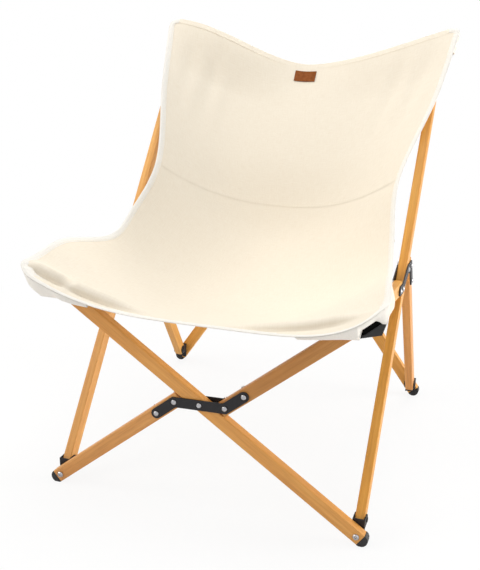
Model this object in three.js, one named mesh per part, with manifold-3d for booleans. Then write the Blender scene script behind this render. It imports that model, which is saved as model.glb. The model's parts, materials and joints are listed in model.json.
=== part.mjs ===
import * as THREE from "three";
import { mergeVertices } from "three/addons/utils/BufferGeometryUtils.js";
import Module from "manifold-3d";

const wasm = await Module();
wasm.setup();

// Bars: one wooden section for the whole frame, in millimetres
const barWidth = 24;
const barThick = 16;
const barEdge = 2;

// Frame layout: lengths in millimetres, slopes in degrees
const spacing = 544;
const frontAngle = 34.5;
const frontLean = 1.7;
const postAngle = 50.96;
const hubUpPost = 443;
const postTop = 462;
const footDepth = 510.5;
const hubOffset = 27;

// Play between neighbours
const seat = 0.3;
const boltPlay = 0.3;
const halfGap = 1.5;

// Bar ends, feet and corner brackets
const boltReach = 9;
const pinReach = 5;
const plugThick = 3;
const footTrim = 0.8;
const footDrop = 14;
const earThick = 2;
const earPlay = 0.4;
const earRadius = 9;
const baseThick = 2.2;
const cornerPlay = 0.8;
const seatBaseRise = 6;
const pinRadius = 3;
const pinHead = 4.5;
const pinHeadHigh = 1.4;

// Hub plates, rivets and bolts
const plateThick = 2;
const plateWidth = 18;
const rivetEdge = 10.5;
const rivetPitch = 42;
const armPitch = 26;
const rivetShank = 2.5;
const rivetHead = 4.6;
const rivetCrown = 3.4;
const rivetTail = 3.7;
const rivetHigh = 2.4;
const rivetRim = 1.7;
const boltShank = 3;
const boltHead = 5.6;
const boltCrown = 3.9;
const boltHigh = 3;
const boltRim = 1.2;
const socketRadius = 2;
const socketDeep = 1.6;

// Seat corner shoes
const shoeThick = 2;
const shoeTip = 6;
const shoeReach = 26;
const shoeToe = 20;
const shoeToeLow = 20;
const shoeBack = 14;
const shoeHeel = 10;
const shoeLow = 30;

// Sling
const clothThick = 2;
const bindingRadius = 3;
const seamAt = 0.385;
const shoulderDown = 120;
const clothClear = 16;
const clothPlay = 1.4;
const topPower = 1.6;
const topTo = 0.12;
const sagPower = 2.2;
const frontPower = 4.4;
const frontFrom = 0.965;
const labelWide = 46;
const labelHigh = 24;
const labelThick = 1.4;
const labelDrop = 17;
const sleeveLong = 62;
const sleeveFromPin = 36;
const sleeveOpen = 120;
const hoodInner = 32;
const hoodLow = 30;
const hoodWall = 2.2;
const hoodPlay = 3;
const hoodForward = 63;
const hoodAcross = 0.6;
const hoodAlong = 0.2;
const meetGap = 0.8;

// Where the sling's right edge passes each pin or hub: out, back and up from it
const edgeTop = [33, 6.2, 50];
const edgeShoulder = [10, 0, 4];
const edgeWaist = [-29, 69, 139];
const edgeHub = [-18, -20, 67];
const edgeArm = [-5, -93, 36];
const edgeKnee = [17, 37, 46];
const edgeCorner = [26, -37, 37];
const edgeFront = [27, -69, 34];

// Where its middle passes them: back and up
const middleTop = [21, -40];
const middleBack = [172, 141];
const middleLow = [77, 1];
const middleSeat = [-40, -70];
const middleKnee = [-145, -70];
const middleFront = [-70, -30];

// Roundness
const roundSides = 12;
const holeSides = 10;
const edgeSides = 2;
const arcSides = 8;
const clothSteps = 24;
const backSteps = 14;
const seatSteps = 22;
const labelSteps = 6;
const hoodSteps = 12;
const sleeveSides = 20;
const rimSide = 26;
const rimEnd = 12;
const cordSides = 6;
const cordSteps = 140;

// How many thicknesses a drill runs, and how many rounds settle the rear foot
const drillOver = 4;
const settleRounds = 20;

const half = spacing / 2;
const degrees = (angle) => THREE.MathUtils.degToRad(angle);
const X = new THREE.Vector3(1, 0, 0);
const Y = new THREE.Vector3(0, 1, 0);
const Z = new THREE.Vector3(0, 0, 1);

// Materials
const woodLook = new THREE.MeshStandardMaterial({ color: 0xd59a4e, roughness: 0.55 });
const steelLook = new THREE.MeshStandardMaterial({ color: 0x232427, roughness: 0.5, metalness: 0.3 });
const rivetLook = new THREE.MeshStandardMaterial({ color: 0xc8cacd, roughness: 0.3, metalness: 0.9 });
const capLook = new THREE.MeshStandardMaterial({ color: 0x17181a, roughness: 0.6 });
const clothLook = new THREE.MeshStandardMaterial({ color: 0xfbeed9, roughness: 0.95 });
const bindingLook = new THREE.MeshStandardMaterial({ color: 0xfffaf0, roughness: 0.9 });
const leatherLook = new THREE.MeshStandardMaterial({ color: 0xa8643c, roughness: 0.7 });

const chair = new THREE.Group();
chair.name = "sling_chair";

// A solid from a geometry, with its faces turned outwards
function solidOf(geometry) {
  const bare = geometry.clone();
  bare.deleteAttribute("normal");
  bare.deleteAttribute("uv");
  const merged = mergeVertices(bare, 1e-4);
  const ids = Array.from(merged.index.array);
  const kept = [];
  for (let i = 0; i < ids.length; i += 3) {
    const [a, b, c] = ids.slice(i, i + 3);
    if (a !== b && b !== c && a !== c) {
      kept.push(a, b, c);
    }
  }
  const build = (triVerts) =>
    new wasm.Manifold(
      new wasm.Mesh({
        numProp: 3,
        vertProperties: new Float32Array(merged.attributes.position.array),
        triVerts: new Uint32Array(triVerts),
      }),
    );
  const made = build(kept);
  if (made.volume() > 0) {
    return made;
  }
  return build(kept.reverse());
}

// A named mesh from a solid
function addPart(name, solid, look) {
  const mesh = solid.getMesh();
  const geometry = new THREE.BufferGeometry();
  geometry.setAttribute("position", new THREE.BufferAttribute(new Float32Array(mesh.vertProperties), 3));
  geometry.setIndex(new THREE.BufferAttribute(new Uint32Array(mesh.triVerts), 1));
  geometry.computeVertexNormals();
  const part = new THREE.Mesh(geometry, look);
  part.name = name;
  chair.add(part);
  return part;
}

// A marker that shows where a pivot is
function addPivot(name, point) {
  const marker = new THREE.Object3D();
  marker.name = name;
  marker.position.copy(point);
  chair.add(marker);
}

// A frame of axes: u and v span a drawing, w is the way it is pushed out
function axes(origin, u, v) {
  const w = u.clone().cross(v).normalize();
  return new THREE.Matrix4().makeBasis(u, v, w).setPosition(origin);
}

// A flat drawing pushed out to both sides of its plane
function slab(shape, thick, matrix) {
  const geometry = new THREE.ExtrudeGeometry(shape, { depth: thick, bevelEnabled: false });
  geometry.translate(0, 0, -thick / 2);
  geometry.applyMatrix4(matrix);
  return solidOf(geometry);
}

// A turned solid about an axis: the profile lists radius and distance along the axis
function turned(profile, origin, axis, sides = roundSides) {
  const points = profile.map(([radius, along]) => new THREE.Vector2(radius, along));
  const geometry = new THREE.LatheGeometry(points, sides);
  const turn = new THREE.Quaternion().setFromUnitVectors(Y, axis);
  geometry.applyQuaternion(turn);
  geometry.translate(origin.x, origin.y, origin.z);
  return solidOf(geometry);
}

// A round rod or drill centred on a point
function rod(origin, axis, radius, long, sides = holeSides) {
  return turned([[0, -long / 2], [radius, -long / 2], [radius, long / 2], [0, long / 2]], origin, axis, sides);
}

// A rectangle with eased corners, drawn about the origin
function easedRectangle(wide, high, radius) {
  const shape = new THREE.Shape();
  const a = wide / 2 - radius;
  const b = high / 2 - radius;
  const corners = [[a, b, 0], [-a, b, 90], [-a, -b, 180], [a, -b, 270]];
  const points = [];
  for (const [x, y, start] of corners) {
    for (let i = 0; i <= edgeSides; i += 1) {
      const angle = degrees(start + (90 * i) / edgeSides);
      points.push(new THREE.Vector2(x + radius * Math.cos(angle), y + radius * Math.sin(angle)));
    }
  }
  shape.setFromPoints(points);
  return shape;
}

// A band with round ends that follows a row of points of a drawing
function bandShape(row, wide) {
  const ways = row.slice(1).map((point, i) => point.clone().sub(row[i]).normalize());
  const normals = ways.map((way) => new THREE.Vector2(-way.y, way.x));
  const edge = (i, flank) => {
    const joined = normals[i - 1].clone().add(normals[i]);
    joined.multiplyScalar((flank * wide) / 2 / (1 + normals[i - 1].dot(normals[i])));
    return row[i].clone().add(joined);
  };
  const endArc = (centre, first) => {
    const arc = [];
    for (let i = 0; i <= arcSides; i += 1) {
      const angle = first + (Math.PI * i) / arcSides;
      arc.push(new THREE.Vector2(Math.cos(angle), Math.sin(angle)).multiplyScalar(wide / 2).add(centre));
    }
    return arc;
  };
  const last = row.length - 1;
  const points = endArc(row[last], ways[last - 1].angle() - Math.PI / 2);
  for (let i = last - 1; i > 0; i -= 1) {
    points.push(edge(i, 1));
  }
  points.push(...endArc(row[0], ways[0].angle() + Math.PI / 2));
  for (let i = 1; i < last; i += 1) {
    points.push(edge(i, -1));
  }
  return new THREE.Shape(points);
}

// A wooden bar between two end points, its thickness along the given way, with drilled holes
function bar(from, to, thickWay, holes) {
  const along = to.clone().sub(from);
  const middle = from.clone().add(to).multiplyScalar(0.5);
  const across = along.clone().normalize().cross(thickWay).normalize();
  const section = easedRectangle(barWidth, barThick, barEdge);
  let solid = slab(section, along.length(), axes(middle, across, thickWay));
  for (const [point, axis, radius] of holes) {
    solid = solid.subtract(rod(point, axis, radius + boltPlay, barThick * drillOver));
  }
  return solid;
}

// A domed rivet profile: head above, shank down through the stack, round tail below
function rivetProfile(shank, stack) {
  const top = stack / 2 + seat;
  return [
    [0, -top - rivetRim],
    [rivetTail, -top],
    [shank, -top],
    [shank, top],
    [rivetHead, top],
    [rivetCrown, top + rivetRim],
    [0, top + rivetHigh],
  ];
}

// A socket bolt profile: the tail is at zero, the head sits on a face at the given distance
function boltProfile(face) {
  const under = face + seat;
  return [
    [0, 0],
    [boltShank, 0],
    [boltShank, under],
    [boltHead, under],
    [boltHead, under + boltRim],
    [boltCrown, under + boltHigh],
    [socketRadius, under + boltHigh],
    [socketRadius, under + boltHigh - socketDeep],
    [0, under + boltHigh - socketDeep],
  ];
}

// Side frame points in the plane of y and z: the front foot pin is the start
const side = (y, z) => new THREE.Vector3(0, y, z);
const pinToBase = Math.hypot(pinReach + plugThick, barWidth / 2) + cornerPlay;
const pinToBar = pinToBase + baseThick + seat + barThick / 2;
const capRadius = barWidth / 2;

// Height of a foot bolt that puts the round cap on the floor
function footBoltHeight(angle, lean) {
  const drop = (capRadius + boltReach * Math.sin(angle)) * Math.cos(lean);
  return drop + (barThick / 2) * Math.abs(Math.sin(lean)) - footTrim;
}

const frontUp = side(Math.sin(degrees(frontLean)), Math.cos(degrees(frontLean)));
const frontOut = side(-Math.cos(degrees(frontLean)), Math.sin(degrees(frontLean)));
const frontRise = spacing * Math.tan(degrees(frontAngle));
const frontFoot = side(0, footBoltHeight(degrees(frontAngle), degrees(frontLean)));
const pinF = frontFoot.clone().addScaledVector(frontUp, footDrop).addScaledVector(frontOut, -pinToBar);
const pinP = pinF.clone().addScaledVector(frontUp, frontRise - footDrop);
const postWay = side(Math.cos(degrees(postAngle)), Math.sin(degrees(postAngle)));
const postFront = side(-postWay.z, postWay.y);
const hub = pinF.clone().addScaledVector(postWay, hubUpPost);
const pinQ = hub.clone().addScaledVector(postWay, postTop);

// The rear foot pin is raised until the rear cap meets the floor
const pinR = side(pinF.y + footDepth, pinF.z);
let rearUp = frontUp;
let rearOut = frontOut;
let rearRise = frontRise;
for (let i = 0; i < settleRounds; i += 1) {
  rearUp = pinQ.clone().sub(pinR).normalize();
  rearOut = side(rearUp.z, -rearUp.y);
  rearRise = pinQ.distanceTo(pinR) + footDrop;
  const lean = Math.atan2(rearUp.y, rearUp.z);
  const boltHeight = footBoltHeight(Math.atan2(rearRise, spacing), lean);
  pinR.z = boltHeight + footDrop * rearUp.z - pinToBar * rearOut.z;
}
const rearFoot = pinR.clone().addScaledVector(rearUp, -footDrop).addScaledVector(rearOut, pinToBar);

// A crossing pair in a leaning plane: one straight bar, one bar in two halves joined by plates
function crossing(tag, foot, up, out, rise, through) {
  const at = (x, s, n = 0) =>
    new THREE.Vector3(x, 0, 0).add(foot).addScaledVector(up, s).addScaledVector(out, n);
  const flat = (p, n = 0) => at(p.x, p.y, n);
  const plane = (n) => axes(at(0, 0, n), X, up);
  const centre = new THREE.Vector2(0, rise / 2);
  const reach = Math.hypot(half, rise / 2);
  const slope = Math.atan2(rise / 2, half);
  const halfSlope = slope + Math.asin(hubOffset / reach);
  const straightWay = new THREE.Vector2(-Math.cos(slope), Math.sin(slope));
  const halfWay = new THREE.Vector2(Math.cos(halfSlope), Math.sin(halfSlope));
  const halfNormal = new THREE.Vector2(-halfWay.y, halfWay.x);
  const sum = slope + halfSlope;
  const clear = (barWidth / 2) * (1 + Math.abs(Math.cos(sum))) + halfGap;
  const start = (clear + hubOffset * Math.cos(sum)) / Math.sin(sum);
  const footSpan = Math.sqrt(reach * reach - hubOffset * hubOffset);
  const onHalf = (q, sign) =>
    centre.clone().addScaledVector(halfNormal, hubOffset * sign).addScaledVector(halfWay, -q * sign);
  const bolts = {
    lower_right: new THREE.Vector2(half, 0),
    upper_left: new THREE.Vector2(-half, rise),
    lower_left: new THREE.Vector2(-half, 0),
    upper_right: new THREE.Vector2(half, rise),
  };
  const hole = (p, radius) => [flat(p), out, radius];
  const rivets = [];
  for (const sign of [1, -1]) {
    rivets.push([onHalf(start + rivetEdge + rivetPitch, sign), onHalf(start + rivetEdge, sign)]);
  }

  // Bars
  const lowEnd = bolts.lower_right.clone().addScaledVector(straightWay, -boltReach);
  const highEnd = bolts.upper_left.clone().addScaledVector(straightWay, boltReach);
  const straightHoles = [
    hole(bolts.lower_right, boltShank),
    hole(bolts.upper_left, boltShank),
    hole(centre, boltShank),
  ];
  addPart(`${tag}_bar_straight`, bar(flat(lowEnd), flat(highEnd), out, straightHoles), woodLook);
  const halves = [["lower", 1, bolts.lower_left], ["upper", -1, bolts.upper_right]];
  halves.forEach(([place, sign, bolt], i) => {
    const holes = [hole(bolt, boltShank), ...rivets[i].map((p) => hole(p, rivetShank))];
    const outer = onHalf(footSpan + boltReach, sign);
    addPart(`${tag}_bar_${place}_half`, bar(flat(outer), flat(onHalf(start, sign)), out, holes), woodLook);
  });

  // Hub plates: the outer one carries the four fixed rivets, the inner one is drilled for them
  const stack = barThick + 2 * (seat + plateThick);
  const plateAt = barThick / 2 + seat + plateThick / 2;
  const all = [...rivets[0], ...rivets[1]];
  const band = bandShape([rivets[0][0], rivets[0][1], rivets[1][1], rivets[1][0]], plateWidth);
  const plateSolid = (n) =>
    slab(band, plateThick, plane(n)).subtract(rod(flat(centre, n), out, boltShank + boltPlay, plateThick * drillOver));
  let outer = plateSolid(plateAt);
  let inner = plateSolid(-plateAt);
  for (const p of all) {
    inner = inner.subtract(rod(flat(p, -plateAt), out, rivetShank + boltPlay, plateThick * drillOver));
    outer = outer.add(turned(rivetProfile(rivetShank, stack), flat(p), out));
  }
  addPart(`${tag}_hub_plate_outer`, outer, steelLook);
  addPart(`${tag}_hub_plate_inner`, inner, steelLook);
  addPart(`${tag}_hub_pivot`, turned(rivetProfile(boltShank, stack), flat(centre), out), rivetLook);
  addPivot(`pivot_${tag}_hub`, flat(centre));

  // End bolts: those in the list go through the bracket behind, the others stop at the bar
  const shoeAdd = tag === "front" ? shoeThick + seat : 0;
  for (const [place, p] of Object.entries(bolts)) {
    const deep = through.includes(place) ? baseThick + seat : 0;
    const added = place.startsWith("upper") ? shoeAdd : 0;
    const profile = boltProfile(barThick + deep + added);
    addPart(`${tag}_bolt_${place}`, turned(profile, flat(p, -barThick / 2 - deep), out), rivetLook);
    addPivot(`pivot_${tag}_${place}`, flat(p));
  }

  // Round black caps on the feet, flat where they stand
  const floor = new THREE.BoxGeometry(spacing * 3, spacing * 6, spacing);
  floor.translate(0, 0, -spacing / 2);
  const under = solidOf(floor);
  const feet = [
    ["right", bolts.lower_right, straightWay],
    ["left", bolts.lower_left, halfWay],
  ];
  for (const [place, bolt, way] of feet) {
    const end = bolt.clone().addScaledVector(way, -boltReach - seat);
    const first = way.angle() + Math.PI / 2;
    const points = [];
    for (let i = 0; i <= arcSides; i += 1) {
      const angle = first + (Math.PI * i) / arcSides;
      points.push(new THREE.Vector2(end.x + capRadius * Math.cos(angle), end.y + capRadius * Math.sin(angle)));
    }
    const shape = new THREE.Shape(points);
    addPart(`${tag}_foot_cap_${place}`, slab(shape, barThick, plane(0)).subtract(under), capLook);
  }

  return { at, plane, bolts, straightWay, halfWay };
}

const front = crossing("front", frontFoot, frontUp, frontOut, frontRise, ["upper_left", "upper_right"]);
const rear = crossing("rear", rearFoot, rearUp, rearOut, rearRise, ["lower_right"]);

// Seat corner shoes: a tapered front plate under the corner and a block that closes the end of the bar
function addShoe(place, sign, bolt, way) {
  const normal = new THREE.Vector2(-way.y, way.x);
  const corner = (along, across) => bolt.clone().addScaledVector(way, along).addScaledVector(normal, across);
  const beside = (x, z) => new THREE.Vector2(bolt.x + sign * x, bolt.y + z);
  const outline = [
    beside(-shoeBack, -shoeLow),
    beside(shoeToe, -shoeToeLow),
    beside(shoeReach, 0),
    beside(shoeReach / 2, barWidth / 2),
    beside(-shoeHeel, -shoeLow / 2),
  ];
  const plateAt = barThick / 2 + seat + shoeThick / 2;
  const near = boltReach + seat;
  const far = boltReach + shoeTip;
  const flank = barWidth / 2;
  const block = [corner(near, -flank), corner(far, -flank), corner(far, flank), corner(near, flank)];
  const deep = barThick + seat + shoeThick;
  const plate = slab(new THREE.Shape(outline), shoeThick, front.plane(plateAt));
  const closed = slab(new THREE.Shape(block), deep, front.plane((seat + shoeThick) / 2));
  const drill = rod(front.at(bolt.x, bolt.y, plateAt), frontOut, boltShank + boltPlay, shoeThick * drillOver);
  addPart(`seat_corner_shoe_${place}`, plate.add(closed).subtract(drill), capLook);
}
addShoe("right", 1, front.bolts.upper_right, front.halfWay);
addShoe("left", -1, front.bolts.upper_left, front.straightWay);

// Corner brackets: a channel with its base on the crossing bar, two ears on the side bar, one pin through both
function addBracket(name, pin, sign, up, out, drop, rise) {
  const origin = pin.clone().setX(sign * half);
  const nearEar = barThick / 2 + earPlay;
  const farEar = nearEar + earThick;
  const outerFace = pinToBase + baseThick;
  const beyond = earRadius * 2;
  const channel = new THREE.Shape(
    [
      [-farEar, -beyond],
      [-nearEar, -beyond],
      [-nearEar, pinToBase],
      [nearEar, pinToBase],
      [nearEar, -beyond],
      [farEar, -beyond],
      [farEar, outerFace],
      [-farEar, outerFace],
    ].map(([x, n]) => new THREE.Vector2(x, n)),
  );
  const lip = pinToBase - earThick;
  const flank = [[lip, rise + earRadius], [lip, earRadius]];
  for (let i = 0; i <= arcSides; i += 1) {
    const angle = degrees(90 + (180 * i) / arcSides);
    flank.push([earRadius * Math.cos(angle), earRadius * Math.sin(angle)]);
  }
  flank.push([lip, -earRadius], [lip, -drop - earRadius], [beyond, -drop - earRadius], [beyond, rise + earRadius]);
  const seen = new THREE.Shape(flank.map(([n, s]) => new THREE.Vector2(n, s)));
  const long = drillOver * (earRadius + drop + rise);
  let solid = slab(channel, long, axes(origin, X, out)).intersect(slab(seen, long, axes(origin, out, up)));
  for (const way of [1, -1]) {
    const head = origin.clone().addScaledVector(X, way * (farEar + pinHeadHigh / 2 - earThick / 4));
    solid = solid.add(rod(head, X, pinHead, pinHeadHigh + earThick / 2));
  }
  solid = solid.add(rod(origin, X, pinRadius, 2 * nearEar + earThick));
  const boltPoint = origin.clone().addScaledVector(out, pinToBase).addScaledVector(up, -drop);
  solid = solid.subtract(rod(boltPoint, out, boltShank + boltPlay, baseThick * drillOver));
  addPart(name, solid, steelLook);
  addPivot(`pivot_${name}`, origin);
}

for (const [word, sign] of [["right", 1], ["left", -1]]) {
  addBracket(`bracket_front_foot_${word}`, pinF, sign, frontUp, frontOut, footDrop, 0);
  addBracket(`bracket_seat_corner_${word}`, pinP, sign, frontUp, frontOut, 0, seatBaseRise);
  addBracket(`bracket_rear_foot_${word}`, pinR, sign, rearUp, rearOut, footDrop, 0);
  addBracket(`bracket_back_top_${word}`, pinQ, sign, rearUp, rearOut, 0, 0);
}

// Side frames: a long post, and a leg and a seat arm that turn on it together between two plates
function tangentWay(pin, turn) {
  const away = pin.clone().sub(hub);
  const span = away.length();
  const angle = Math.atan2(away.z, away.y) + turn * Math.asin(hubOffset / span);
  return { way: side(Math.cos(angle), Math.sin(angle)), long: Math.sqrt(span * span - hubOffset * hubOffset) };
}
const leg = tangentWay(pinR, -1);
const arm = tangentWay(pinP, -1);
const legFoot = pinR.clone().addScaledVector(leg.way, -leg.long);
const armFoot = pinP.clone().addScaledVector(arm.way, -arm.long);

// How far along a swung bar its end must stay from the crossing point to clear the post
function swungStart(foot, way, outward) {
  const toPost = foot.clone().sub(hub).dot(outward);
  const rate = way.dot(outward);
  const clear = (barWidth / 2) * (1 + Math.sqrt(1 - rate * rate)) + halfGap;
  return (clear - toPost) / rate;
}
const legStart = swungStart(legFoot, leg.way, postFront.clone().negate());
const armStart = swungStart(armFoot, arm.way, postFront);

for (const [word, sign] of [["right", 1], ["left", -1]]) {
  const put = (point) => point.clone().setX(sign * half);
  const hole = (point, radius) => [put(point), X, radius];
  const onLeg = (q) => legFoot.clone().addScaledVector(leg.way, q);
  const onArm = (q) => armFoot.clone().addScaledVector(arm.way, q);
  const legRivets = [onLeg(legStart + rivetEdge), onLeg(legStart + rivetEdge + rivetPitch)];
  const armRivets = [onArm(armStart + rivetEdge), onArm(armStart + rivetEdge + armPitch)];

  // Bars
  const postLow = pinF.clone().addScaledVector(postWay, -pinReach);
  const postHigh = pinQ.clone().addScaledVector(postWay, pinReach);
  const postHoles = [hole(pinF, pinRadius), hole(pinQ, pinRadius), hole(hub, boltShank)];
  addPart(`${word}_post`, bar(put(postLow), put(postHigh), X, postHoles), woodLook);
  const legHoles = [hole(pinR, pinRadius), ...legRivets.map((p) => hole(p, rivetShank))];
  const legEnd = pinR.clone().addScaledVector(leg.way, pinReach);
  addPart(`${word}_leg`, bar(put(legEnd), put(onLeg(legStart)), X, legHoles), woodLook);
  const armHoles = [hole(pinP, pinRadius), ...armRivets.map((p) => hole(p, rivetShank))];
  const armEnd = pinP.clone().addScaledVector(arm.way, pinReach);
  addPart(`${word}_seat_arm`, bar(put(armEnd), put(onArm(armStart)), X, armHoles), woodLook);

  // Thin black plugs on the lower ends
  const plugs = [["post", postLow, postWay.clone().negate()], ["leg", legEnd, leg.way]];
  for (const [piece, end, way] of plugs) {
    const middle = put(end).addScaledVector(way, seat + (plugThick - seat) / 2);
    const across = way.clone().cross(X).normalize();
    const plug = slab(easedRectangle(barWidth, barThick, barEdge), plugThick - seat, axes(middle, across, X));
    addPart(`${word}_${piece}_plug`, plug, capLook);
  }

  // Hub plates: bent bands through the rivets, the outer one carrying them
  const stack = barThick + 2 * (seat + plateThick);
  const plateAt = barThick / 2 + seat + plateThick / 2;
  const flat = (point) => new THREE.Vector2(point.y, point.z);
  const band = bandShape([legRivets[1], legRivets[0], hub, ...armRivets].map(flat), plateWidth);
  const plateSolid = (x) =>
    slab(band, plateThick, axes(new THREE.Vector3(x, 0, 0), Y, Z))
      .subtract(rod(hub.clone().setX(x), X, boltShank + boltPlay, plateThick * drillOver));
  const outward = X.clone().multiplyScalar(sign);
  let outer = plateSolid(sign * (half + plateAt));
  let inner = plateSolid(sign * (half - plateAt));
  for (const p of [...legRivets, ...armRivets]) {
    inner = inner.subtract(rod(p.clone().setX(sign * (half - plateAt)), X, rivetShank + boltPlay, plateThick * drillOver));
    outer = outer.add(turned(rivetProfile(rivetShank, stack), put(p), outward));
  }
  addPart(`${word}_hub_plate_outer`, outer, steelLook);
  addPart(`${word}_hub_plate_inner`, inner, steelLook);
  addPart(`${word}_hub_pivot`, turned(rivetProfile(boltShank, stack), put(hub), outward), rivetLook);
  addPivot(`pivot_${word}_hub`, put(hub));
}

// Sling edge on the right, from the top corner down past the post to the front corner
const off = (point, x, y, z) => new THREE.Vector3(half + x, point.y + y, point.z + z);
const shoulder = pinQ
  .clone()
  .addScaledVector(postWay, -shoulderDown)
  .addScaledVector(postFront, barWidth / 2 + clothClear);
const edgeLine = new THREE.CatmullRomCurve3([
  off(pinQ, ...edgeTop),
  off(shoulder, ...edgeShoulder),
  off(hub, ...edgeWaist),
  off(hub, ...edgeHub),
  off(hub, ...edgeArm),
  off(pinP, ...edgeKnee),
  off(pinP, ...edgeCorner),
  off(pinP, ...edgeFront),
]);

// Sling middle line, from the top edge down the back and over the seat
const mid = (point, y, z) => new THREE.Vector3(0, point.y + y, point.z + z);
const middleLine = new THREE.CatmullRomCurve3([
  mid(pinQ, ...middleTop),
  mid(hub, ...middleBack),
  mid(hub, ...middleLow),
  mid(hub, ...middleSeat),
  mid(hub, ...middleKnee),
  mid(pinP, ...middleFront),
]);

// A point of the cloth: across from -1 to 1, along from the top edge to the front edge
function cloth(across, along) {
  const edge = edgeLine.getPointAt(along);
  const centre = middleLine.getPointAt(along);
  const nearFront = THREE.MathUtils.smoothstep(along, frontFrom, 1);
  const belowTop = THREE.MathUtils.smoothstep(along, 0, topTo);
  const backPower = THREE.MathUtils.lerp(topPower, sagPower, belowTop);
  const power = THREE.MathUtils.lerp(backPower, frontPower, nearFront);
  const share = Math.abs(across) ** power;
  return new THREE.Vector3(
    edge.x * across,
    THREE.MathUtils.lerp(centre.y, edge.y, share),
    THREE.MathUtils.lerp(centre.z, edge.z, share),
  );
}

// The cloth's outward side at a point: towards the sitter
function clothNormal(across, along) {
  const step = 0.004;
  const low = (value, least) => Math.max(value - step, least);
  const high = (value) => Math.min(value + step, 1);
  const a = cloth(high(across), along).sub(cloth(low(across, -1), along));
  const b = cloth(across, high(along)).sub(cloth(across, low(along, 0)));
  return b.cross(a).normalize();
}

// A closed skin over a patch of the cloth between two layers of points
function skin(range, steps, place) {
  const [a0, a1, b0, b1] = range;
  const [na, nb] = steps;
  const positions = [];
  const index = [];
  const id = (layer, i, j) => layer * (na + 1) * (nb + 1) + j * (na + 1) + i;
  for (const layer of [1, -1]) {
    for (let j = 0; j <= nb; j += 1) {
      for (let i = 0; i <= na; i += 1) {
        const a = a0 + ((a1 - a0) * i) / na;
        const b = b0 + ((b1 - b0) * j) / nb;
        const point = place(a, b, layer);
        positions.push(point.x, point.y, point.z);
      }
    }
  }
  const quad = (a, b, c, d) => index.push(a, b, c, a, c, d);
  for (let j = 0; j < nb; j += 1) {
    for (let i = 0; i < na; i += 1) {
      quad(id(0, i, j), id(0, i, j + 1), id(0, i + 1, j + 1), id(0, i + 1, j));
      quad(id(1, i, j), id(1, i + 1, j), id(1, i + 1, j + 1), id(1, i, j + 1));
    }
  }
  for (let i = 0; i < na; i += 1) {
    quad(id(0, i, 0), id(0, i + 1, 0), id(1, i + 1, 0), id(1, i, 0));
    quad(id(0, i + 1, nb), id(0, i, nb), id(1, i, nb), id(1, i + 1, nb));
  }
  for (let j = 0; j < nb; j += 1) {
    quad(id(0, 0, j + 1), id(0, 0, j), id(1, 0, j), id(1, 0, j + 1));
    quad(id(0, na, j), id(0, na, j + 1), id(1, na, j + 1), id(1, na, j));
  }
  const geometry = new THREE.BufferGeometry();
  geometry.setAttribute("position", new THREE.BufferAttribute(new Float32Array(positions), 3));
  geometry.setIndex(index);
  return solidOf(geometry);
}

// A thin sheet over a patch of the cloth, raised by a distance from it
function sheet(range, steps, thick, raise) {
  const place = (a, b, layer) => cloth(a, b).addScaledVector(clothNormal(a, b), raise + (layer * thick) / 2);
  return skin(range, steps, place);
}

// The two panels stop short of the binding, and meet at the seam
const sideLength = edgeLine.getLength();
const inset = (bindingRadius + seat + clothPlay) / sideLength;
const insetAcross = 1 - (bindingRadius + seat + clothPlay) / half;
const seamGap = seat / 2 / sideLength;
const backRange = [-insetAcross, insetAcross, inset, seamAt - seamGap];
const seatRange = [-insetAcross, insetAcross, seamAt + seamGap, 1 - inset];
addPart("sling_back", sheet(backRange, [clothSteps, backSteps], clothThick, 0), clothLook);
addPart("sling_seat", sheet(seatRange, [clothSteps, seatSteps], clothThick, 0), clothLook);

// Binding: one cord round the sling, its ends meeting at the middle of the front edge
const rim = [];
const meet = meetGap / 2 / half;
for (let i = 0; i < rimEnd; i += 1) {
  rim.push(cloth(THREE.MathUtils.lerp(meet, 1, i / rimEnd), 1));
}
for (let i = 0; i < rimSide; i += 1) {
  rim.push(cloth(1, 1 - i / rimSide));
}
for (let i = 0; i < 2 * rimEnd; i += 1) {
  rim.push(cloth(1 - i / rimEnd, 0));
}
for (let i = 0; i < rimSide; i += 1) {
  rim.push(cloth(-1, i / rimSide));
}
for (let i = 0; i <= rimEnd; i += 1) {
  rim.push(cloth(THREE.MathUtils.lerp(-1, -meet, i / rimEnd), 1));
}
const rimPath = new THREE.CatmullRomCurve3(rim);
const cordPoints = [];
for (let i = 0; i < cordSides; i += 1) {
  const angle = (2 * Math.PI * i) / cordSides;
  cordPoints.push(new THREE.Vector2(bindingRadius * Math.cos(angle), bindingRadius * Math.sin(angle)));
}
const cord = new THREE.ExtrudeGeometry(new THREE.Shape(cordPoints), {
  steps: cordSteps,
  extrudePath: rimPath,
  bevelEnabled: false,
});
addPart("sling_binding", solidOf(cord), bindingLook);

// Leather label on the front of the back panel
const topEdge = cloth(1, 0).x;
const labelHalf = labelWide / 2 / topEdge;
const labelFrom = labelDrop / sideLength;
const labelRange = [-labelHalf, labelHalf, labelFrom, labelFrom + labelHigh / sideLength];
const labelLift = clothThick / 2 + seat + labelThick / 2;
addPart("sling_label", sheet(labelRange, [labelSteps, labelSteps], labelThick, labelLift), leatherLook);

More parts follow.
